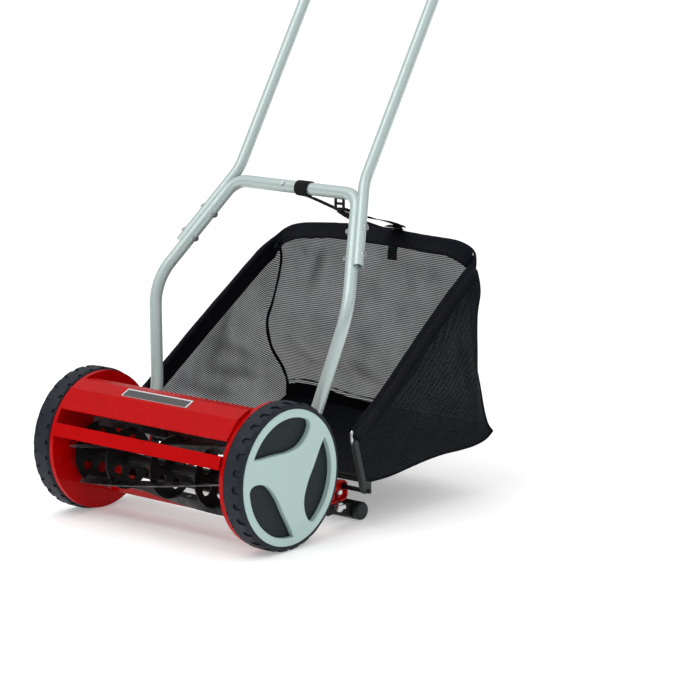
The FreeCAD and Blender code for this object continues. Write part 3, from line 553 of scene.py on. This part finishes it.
# across the sleeve: distance from the outer edge and height above its middle plane
SLEEVE_SECTION = [(0.0, 0.0), (0.7, 2.9), (2.9, 5.0), (6.5, 5.6), (10.5, 4.4), (15, 2.7), (22, 2.0),
                  (31, 1.7), (37.3, 1.3), (38.0, 0.0), (37.3, -1.3), (31, -1.7), (22, -2.0),
                  (15, -2.7), (10.5, -4.2), (6.5, -5.2), (2.9, -4.6), (0.7, -2.7)]


def make_sleeve():
    """The fabric sleeve round the mouth wire: round over the wire, flat and stitched inside it."""
    vertices, uvs = [], []
    along = np.concatenate([[0], np.cumsum(np.linalg.norm(np.diff(mouth, axis=0), axis=1))])
    for i in range(SLEEVE_STEPS):
        end = min(along[i], along[-1] - along[i])
        narrow = min(1.0, 0.62 + end / 90.0)
        for k, (across, height) in enumerate(SLEEVE_SECTION):
            pucker = 1.0 + 0.22 * wobble(along[i], across * 3, 0, 17.0, 1.7)
            lift = 0.8 * wobble(along[i], across, height, 45.0, 4.1)
            shift = 1.0 * wobble(along[i], 0, 0, 60.0, 9.3) * across / SLEEVE_WIDTH
            point = (mouth[i] + mouth_inward[i] * (across * narrow + shift)
                     + mouth_normal[i] * (height * pucker + lift))
            vertices.append(place(*point))
            uvs.append((along[i] * MM, (across if height >= 0 else -across) * MM))
    count = len(SLEEVE_SECTION)
    faces = grid_quads(SLEEVE_STEPS, count, True)
    faces.append(tuple(range(count))[::-1])
    faces.append(tuple((SLEEVE_STEPS - 1) * count + k for k in range(count)))
    sleeve = add_mesh("bag_sleeve", vertices, faces, "binding_fabric", "bag", uvs)
    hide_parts("bag_binding")
    return sleeve


def hem_line(first, last, inset, below=0.0, count=120):
    """A line along the sleeve between two shares of its length, inset from its outer edge."""
    line = (mouth + mouth_inward * inset - mouth_normal * below)
    return even(line[int(first * (SLEEVE_STEPS - 1)):int(last * (SLEEVE_STEPS - 1)) + 1], count)


def make_stitches(name, line, slot, body, pitch=5.0, length=3.2, radius=0.35):
    """A row of short thread stitches along a line."""
    total = line_length(line)
    count = int(total / pitch)
    dense = even(line, count * 6 + 1)
    vertices, faces = [], []
    sides = 5
    for s in range(count):
        start = dense[s * 6]
        finish = dense[s * 6] + (dense[min(s * 6 + 5, len(dense) - 1)] - dense[s * 6]) * (length / pitch)
        direction = finish - start
        direction /= np.linalg.norm(direction) + 1e-9
        side = np.cross(direction, (0.3, 0.2, 0.93))
        side /= np.linalg.norm(side)
        top = np.cross(side, direction)
        base = len(vertices)
        for point, size in ((start, 0.5), (start * 0.7 + finish * 0.3, 1.0),
                            (start * 0.3 + finish * 0.7, 1.0), (finish, 0.5)):
            for k in range(sides):
                a = 2 * math.pi * k / sides
                offset = (side * math.cos(a) + top * math.sin(a)) * radius * size
                vertices.append(place(*(point + offset)))
        faces += [tuple(base + i for i in q) for q in grid_quads(4, sides, True)]
        faces.append(tuple(base + k for k in range(sides))[::-1])
        faces.append(tuple(base + 3 * sides + k for k in range(sides)))
    return add_mesh(name, vertices, faces, slot, body)


# ------------------------------------------------------------------ grass bag: cloth panels
def coons(low, high, left, right):
    """A grid of points between four edge lines: low and high run left to right, left and right
    run low to high."""
    rows, columns = len(left), len(low)
    u = np.linspace(0, 1, columns)[None, :, None]
    v = np.linspace(0, 1, rows)[:, None, None]
    ruled = (1 - v) * low[None] + v * high[None] + (1 - u) * left[:, None] + u * right[:, None]
    corners = ((1 - u) * (1 - v) * low[0] + u * (1 - v) * low[-1]
               + (1 - u) * v * high[0] + u * v * high[-1])
    return ruled - corners


def fold(points, start, finish, width, depth):
    """A soft crease from one point to another: how deep it is at each grid point."""
    a, b = np.array(start, float), np.array(finish, float)
    run = b - a
    t = np.clip(((points - a) @ run) / (run @ run), 0, 1)
    away = np.linalg.norm(points - (a + t[..., None] * run), axis=-1)
    taper = np.sin(math.pi * (0.1 + 0.8 * t))
    return depth * taper * np.exp(-(away / width) ** 2)


def drape(grid, outward, billow, folds, rough, seed):
    """Pushes a panel out between its edges, with creases and soft unevenness. Returns the new
    grid and how much painted shade each point gets, 0 to 1: more in creases and hollows."""
    rows, columns, _ = grid.shape
    u = np.linspace(0, 1, columns)[None, :]
    v = np.linspace(0, 1, rows)[:, None]
    hold = np.clip(4 * np.minimum(np.minimum(u, 1 - u), np.minimum(v, 1 - v)), 0, 1)
    hold = hold * hold * (3 - 2 * hold)
    middle = (np.sin(math.pi * u) * np.sin(math.pi * v)) ** 0.7
    depth = np.zeros((rows, columns))
    for start, finish, width, size in folds:
        depth += fold(grid, start, finish, width, size)
    uneven = np.array([[wobble(*p, 70.0, seed) + 0.5 * wobble(*p, 28.0, seed + 3.0) for p in row]
                       for row in grid])
    push = billow * middle + hold * (rough * uneven - depth)
    moved = grid + push[..., None] * np.array(outward, float)
    # painted shade: high where folds press the cloth in and in the hollows of the unevenness
    painted_shade = np.clip(hold * (depth / 9.0 - 0.35 * uneven), 0, 1)
    return moved, painted_shade


def weave_uv(grid, across, up):
    """Flat pattern coordinates in metres: distances along two directions of the undraped panel."""
    across = np.array(across, float) / np.linalg.norm(across)
    up = np.array(up, float) / np.linalg.norm(up)
    return [(float(p @ across) * MM, float(p @ up) * MM) for row in grid for p in row]


def add_panel(name, grid, uvs, slot, painted_shade, replaced):
    rows, columns, _ = grid.shape
    vertices = [place(*p) for row in grid for p in row]
    panel = add_mesh(name, vertices, grid_quads(rows, columns), slot, "bag", uvs)
    # per-point painted shade, read by the net material
    layer = panel.data.attributes.new("painted_shade", "FLOAT", "POINT")
    layer.data.foreach_set("value", np.asarray(painted_shade, np.float32).ravel())
    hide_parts(*replaced)
    return panel


PANEL_ROWS, PANEL_COLUMNS = 90, 130
CLOTH_INSET = 28.0      # how far under the sleeve the net starts
GRAIN = math.radians(-31.0)
SIDE_BILLOW = 7.0
BACK_BILLOW = 14.0

seam_right = smooth_line(SEAM_RIGHT, PANEL_ROWS)[::-1]      # from the low corner up
seam_left = smooth_line(SEAM_LEFT, PANEL_ROWS)[::-1]
bottom_right = smooth_line(BOTTOM_RIGHT, PANEL_COLUMNS)
bottom_left = smooth_line(mirror(BOTTOM_RIGHT), PANEL_COLUMNS)
bottom_left[-1] = seam_left[0]


def nearest_share(point):
    return int(np.argmin(np.linalg.norm(mouth + mouth_inward * CLOTH_INSET - np.array(point), axis=1)))


under = mouth + mouth_inward * CLOTH_INSET - mouth_normal * 1.0
right_corner = nearest_share(SEAM_RIGHT[0])
left_corner = nearest_share(SEAM_LEFT[0])
seam_right = np.vstack([seam_right[:-1], under[right_corner]])
seam_left = np.vstack([seam_left[:-1], under[left_corner]])
front_right = smooth_line([tuple(bottom_right[0]), (249, 172, 110), (250, 158, 150),
                           tuple(under[0])], PANEL_ROWS)
front_left = smooth_line([tuple(bottom_left[0]), (-249, 172, 110), (-250, 158, 150),
                          tuple(under[-1])], PANEL_ROWS)

RIGHT_FOLDS = [
    ((236, 300, 230), (242, 480, 150), 14, 5), ((236, 420, 330), (242, 470, 200), 12, 5),
    ((240, 260, 190), (242, 360, 110), 16, 4), ((232, 450, 380), (238, 430, 250), 10, 4),
]
LEFT_FOLDS = [
    ((-230, 470, 380), (-240, 440, 260), 10, 6), ((-236, 400, 330), (-240, 350, 210), 16, 6),
    ((-240, 330, 250), (-240, 470, 190), 14, 7), ((-240, 300, 200), (-242, 500, 150), 12, 6),
    ((-238, 430, 300), (-238, 470, 270), 8, 7), ((-244, 240, 180), (-244, 400, 130), 14, 5),
]
BACK_FOLDS = [
    ((-165, 500, 425), (-165, 500, 385), 6, 5), ((-112, 500, 430), (-160, 505, 300), 12, 8),
    ((-60, 505, 380), (-185, 510, 235), 10, 9), ((-30, 500, 430), (-60, 510, 300), 14, 6),
    ((60, 500, 430), (62, 505, 370), 7, 6), ((152, 500, 425), (140, 505, 390), 8, 6),
    ((148, 505, 400), (95, 520, 270), 9, 8), ((100, 515, 290), (40, 520, 200), 14, 8),
    ((20, 505, 400), (10, 515, 260), 16, 6), ((-120, 520, 240), (0, 525, 170), 16, 7),
    ((210, 490, 400), (200, 515, 250), 14, 6), ((-225, 480, 260), (-150, 515, 190), 12, 8),
]

# the base's upper edge on the back wall: level, and higher towards the left corner
SKIRT = [(-243, 537, 129), (-222, 536, 135), (-190, 535, 138), (-155, 534, 137), (-120, 534, 132),
         (-80, 534, 127), (-20, 534, 125), (60, 534, 124), (160, 534, 123), (215, 535, 124),
         (242.5, 533, 127)]


def split_at(line, height):
    """Where a seam line that runs upwards passes a height, as an index."""
    return int(np.argmin(np.abs(line[:, 2] - height)))


def make_walls():
    """Left, right and back net panels, from the base up to the sleeve. The right one gets extra
    painted shade: darker, more opaque threads. Returns the skirt's line and where it meets the two
    seams."""
    side_left = coons(bottom_left, even(under[left_corner:][::-1], PANEL_COLUMNS), front_left,
                      seam_left)
    side_right = coons(bottom_right, even(under[:right_corner + 1], PANEL_COLUMNS), front_right,
                       seam_right)
    grain = (0, math.cos(GRAIN), math.sin(GRAIN))
    rise = (0, -math.sin(GRAIN), math.cos(GRAIN))
    for name, grid, out, folds, seed, side_shade in (
            ("bag_net_left", side_left, (-1, 0, 0), LEFT_FOLDS, 5.0, 0.0),
            ("bag_net_right", side_right, (1, 0, 0), RIGHT_FOLDS, 11.0, 0.9)):
        draped, painted_shade = drape(grid, out, SIDE_BILLOW, folds, 2.5, seed)
        # painted shade over the whole right wall
        painted_shade = np.clip(painted_shade + side_shade, 0, 1)
        add_panel(name, draped, weave_uv(grid, grain, rise), "mesh_fabric", painted_shade,
                  [name.replace("net", "side")])
    skirt_low = smooth_line(SKIRT, PANEL_COLUMNS)
    first = split_at(seam_left, SKIRT[0][2])
    second = split_at(seam_right, SKIRT[-1][2])
    skirt_low[0], skirt_low[-1] = seam_left[first], seam_right[second]
    top = even(under[right_corner:left_corner + 1][::-1], PANEL_COLUMNS)
    back = coons(skirt_low, top, even(seam_left[first:], PANEL_ROWS),
                 even(seam_right[second:], PANEL_ROWS))
    draped, painted_shade = drape(back, (0, 1, 0.1), BACK_BILLOW, BACK_FOLDS, 3.5, 21.0)
    add_panel("bag_net_back", draped, weave_uv(back, (1, 0, 0), (0, 0, 1)), "mesh_fabric", painted_shade,
              ["bag_back"])
    return skirt_low, first, second


BASE_SAG = 9.0
BASE_UNEVEN = 3.0


def make_base(skirt, first, second):
    """The solid cloth floor, which runs up the back as a low skirt, in one sheet."""
    columns = PANEL_COLUMNS
    front = np.stack([np.linspace(-247, 247, columns), np.full(columns, 181.0),
                      FLOOR_FRONT_Z - 1.5 * np.sin(np.linspace(0, math.pi, columns))], axis=1)
    rear = smooth_line([(-245, 540, 111), (-150, 545, 106), (0, 547, 104), (150, 545, 106),
                        (245, 542, 111)], columns)
    floor = coons(front, rear, even(bottom_left, 70), even(bottom_right, 70))
    wall = coons(rear, skirt, even(seam_left[:first + 1], 12), even(seam_right[:second + 1], 12))
    grid = np.concatenate([floor, wall[1:]])
    rows = grid.shape[0]
    u = np.linspace(0, 1, columns)[None, :]
    v = np.clip(np.linspace(0, rows / 70.0, rows), 0, 1)[:, None]
    sag = np.sin(math.pi * u) ** 0.8 * np.sin(math.pi * v) ** 0.8
    uneven = np.array([[wobble(*p, 80.0, 31.0) + 0.4 * wobble(*p, 30.0, 33.0) for p in row]
                       for row in grid])
    draped = grid.copy()
    draped[..., 2] += -BASE_SAG * sag + BASE_UNEVEN * sag * uneven
    draped[..., 1] += (1 - np.clip(np.abs(v - 1) * 8, 0, 1)) * np.sin(math.pi * u) * 2.0 * uneven
    distances = np.concatenate([[0], np.cumsum(np.linalg.norm(np.diff(grid[:, columns // 2], axis=0),
                                                              axis=1))])
    uvs = [(float(grid[r, c, 0]) * MM, float(distances[r]) * MM)
           for r in range(rows) for c in range(columns)]
    add_panel("bag_base", draped, uvs, "solid_fabric", np.zeros((rows, columns)),
              ["bag_floor"])


def make_seams(skirt):
    """Piped seams and hems where the panels meet."""
    uneven = np.array([2.8 + 1.0 * wobble(*p, 22.0, 8.0) for p in even(seam_left, 150)])
    tube("bag_seam_left", even(seam_left, 150), uneven, "binding_fabric", "bag", up=(1, 0.2, 0))
    tube("bag_seam_right", even(seam_right, 150), 2.1, "binding_fabric", "bag", up=(1, 0.2, 0))
    tube("bag_edge_left", even(bottom_left, 150), 1.8, "binding_fabric", "bag")
    tube("bag_edge_right", even(bottom_right, 150), 2.0, "binding_fabric", "bag")
    tube("bag_front_tape_left", even(front_left, 60), 2.6, "binding_fabric", "bag", up=(1, 0, 0),
         flat=0.6)
    tube("bag_front_tape_right", even(front_right, 60), 2.6, "binding_fabric", "bag", up=(1, 0, 0),
         flat=0.6)
    hem = skirt + np.array([0, -2.0, 8.5])
    tube("bag_hem", even(hem[2:-2], 160), 0.9, "binding_fabric", "bag", sides=8)
    tube("bag_skirt_edge", even(skirt[1:-1] + np.array([0, -1.0, 0.3]), 160), 1.0, "binding_fabric",
         "bag", sides=8)


WIRE_INSET = 6.0
WIRE_R = 2.6


def make_wire():
    """The round steel wire inside the sleeve, bare at both low ends down to the channels."""
    inner = mouth + mouth_inward * WIRE_INSET
    low_right = [(251, 157, 141), (250.5, 154, 152), (250, 149.5, 165), (249, 147.5, 174)]
    low_left = mirror(low_right)
    line = np.vstack([np.array(low_right), inner[4:-4], np.array(low_left[::-1])])
    wire = tube("mouth_wire", smooth_line(line[::3], 400), WIRE_R, "zinc_steel", "bag", sides=12)
    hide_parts("bag_wire")


# ------------------------------------------------------------------ straps
CROSS_Y, CROSS_Z, CROSS_R = 289.0, 556.0, 11.0
LOOP_X = 22.0
LOOP_WIDTH = 29.0
STRAP_T = 1.5
BUCKLE_X = (77.0, 95.0)
BUCKLE_Y = 307.0
BUCKLE_Z = (523.0, 543.0)


def ribbon(name, line, width, thickness, slot, across, body=None, waves=0.0, seed=0.0):
    """A flat strap along a line; across is its width's direction at the start and the end."""
    line = np.asarray(line, float)
    t = tangents(line)
    count = len(line)
    mix = np.linspace(0, 1, count)[:, None]
    side = (1 - mix) * np.array(across[0], float) + mix * np.array(across[1], float)
    side -= (side * t).sum(1)[:, None] * t
    side /= np.linalg.norm(side, axis=1)[:, None]
    up = np.cross(side, t)
    along = np.concatenate([[0], np.cumsum(np.linalg.norm(np.diff(line, axis=0), axis=1))])
    section = []
    for s in np.linspace(-0.5, 0.5, 7):
        section.append((s, 0.5))
    for s in np.linspace(0.5, -0.5, 7):
        section.append((s, -0.5))
    vertices, uvs = [], []
    for i in range(count):
        curl = waves * wobble(along[i], 0, 0, 26.0, seed)
        for s, h in section:
            round_off = 0.75 if abs(s) > 0.49 else 1.0
            offset = side[i] * s * width + up[i] * (h * thickness * round_off + curl * (1 + s))
            vertices.append(place(*(line[i] + offset)))
            uvs.append((s * width * MM, along[i] * MM))
    n = len(section)
    faces = grid_quads(count, n, True)
    faces.append(tuple(range(n))[::-1])
    faces.append(tuple((count - 1) * n + k for k in range(n)))
    return add_mesh(name, vertices, faces, slot, body, uvs)


def make_loop():
    """Webbing wrapped round the cross-bar, two turns thick where it is stitched below."""
    line = []
    for step in range(97):
        angle = math.radians(-100.0 + 360.0 * 1.04 * step / 96)
        radius = CROSS_R + 1.1 + 1.3 * step / 96
        line.append((LOOP_X, CROSS_Y + radius * math.cos(angle), CROSS_Z + radius * math.sin(angle)))
    loop = ribbon("crossbar_loop", line, LOOP_WIDTH, 1.3, "webbing", ((1, 0, 0), (1, 0, 0)), "chassis")
    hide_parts("strap_loop")


def make_buckle():
    """A rectangular buckle with a middle bar, which hangs in the strap's upper end."""
    corners = [(x, BUCKLE_Y, z) for x, z in ((BUCKLE_X[0], BUCKLE_Z[0]), (BUCKLE_X[1], BUCKLE_Z[0]),
                                             (BUCKLE_X[1], BUCKLE_Z[1]), (BUCKLE_X[0], BUCKLE_Z[1]))]
    rim = tube("buckle_rim", even(corners + corners[:1], 77), 2.6, "black_plastic", None,
               up=(0, 1, 0), cap=False)
    middle_z = sum(BUCKLE_Z) / 2
    line = even([(x, BUCKLE_Y, middle_z) for x in BUCKLE_X], 12)
    bar = tube("buckle_bar", line, 2.4, "black_plastic", None, up=(0, 1, 0))
    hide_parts("strap_buckle")
    return rim, bar


def make_straps():
    """Three strands from the cross-bar loop and the buckle to the sleeve, and the strap's end."""
    side_way = ((1, 0, 0), (1, 0, 0))
    first = smooth_line([(24, 283, 543.5), (28, 296, 540), (38, 345, 518), (49, 410, 488),
                         (54, 470, 468), (56, 492, 465)], 90)
    upper = ribbon("strap_long", first, 19.0, STRAP_T, "webbing", side_way, None, 0.5, 3.0)
    second = smooth_line([(92, 304, 519), (93, 330, 505), (92, 380, 487), (84, 440, 475),
                          (74, 480, 467), (66, 494, 464)], 80)
    lower = ribbon("strap_adjuster", second, 22.0, STRAP_T, "webbing", side_way, None, 0.6, 5.0)
    third = smooth_line([(94, 306, 526), (96, 335, 514), (93, 385, 499), (86, 430, 489),
                         (74, 474, 477), (64, 500, 468)], 80)
    top = ribbon("strap_doubled", third, 22.0, STRAP_T, "webbing", side_way, None, 0.8, 8.0)
    for strap in (upper, lower, top, *make_buckle()):
        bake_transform(strap)
    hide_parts("bag_strap")
    over = smooth_line([(58, 476, 470), (57, 494, 470), (56, 504, 462), (56, 500, 452),
                        (55, 494, 440), (55, 489, 424), (56, 487, 408)], 70)
    ribbon("strap_end", over, 21.0, STRAP_T, "webbing", side_way, "bag", 0.4, 12.0)


# ------------------------------------------------------------------ build
FLOOR_HALF = 30.0
FLOOR_CELLS = 12


def make_floor():
    """A pale studio floor, wide enough to fill the view."""
    steps = np.linspace(-FLOOR_HALF, FLOOR_HALF, FLOOR_CELLS + 1)
    vertices = [(x, y, 0.0) for y in steps for x in steps]
    mesh = bpy.data.meshes.new("floor")
    mesh.from_pydata(vertices, [], grid_quads(FLOOR_CELLS + 1, FLOOR_CELLS + 1))
    mesh.materials.append(pale_floor())
    floor = bpy.data.objects.new("floor", mesh)
    bpy.context.scene.collection.objects.link(floor)


add_camera()
add_sky()
add_softbox("key", -20.0, 55.0, 3.5, (2.6, 2.6), 46.0)
add_softbox("fill", 95.0, 35.0, 4.0, (2.5, 1.5), 7.0)
bpy.context.scene.view_settings.view_transform = "Standard"
make_floor()
paint_cad_nodes()
make_sleeve()
skirt_line, skirt_first, skirt_second = make_walls()
make_base(skirt_line, skirt_first, skirt_second)
make_seams(skirt_line)
make_wire()
make_stitches("sleeve_stitches", hem_line(0.02, 0.98, 34.5, -1.9, 400), "webbing", "bag")
make_loop()
make_straps()
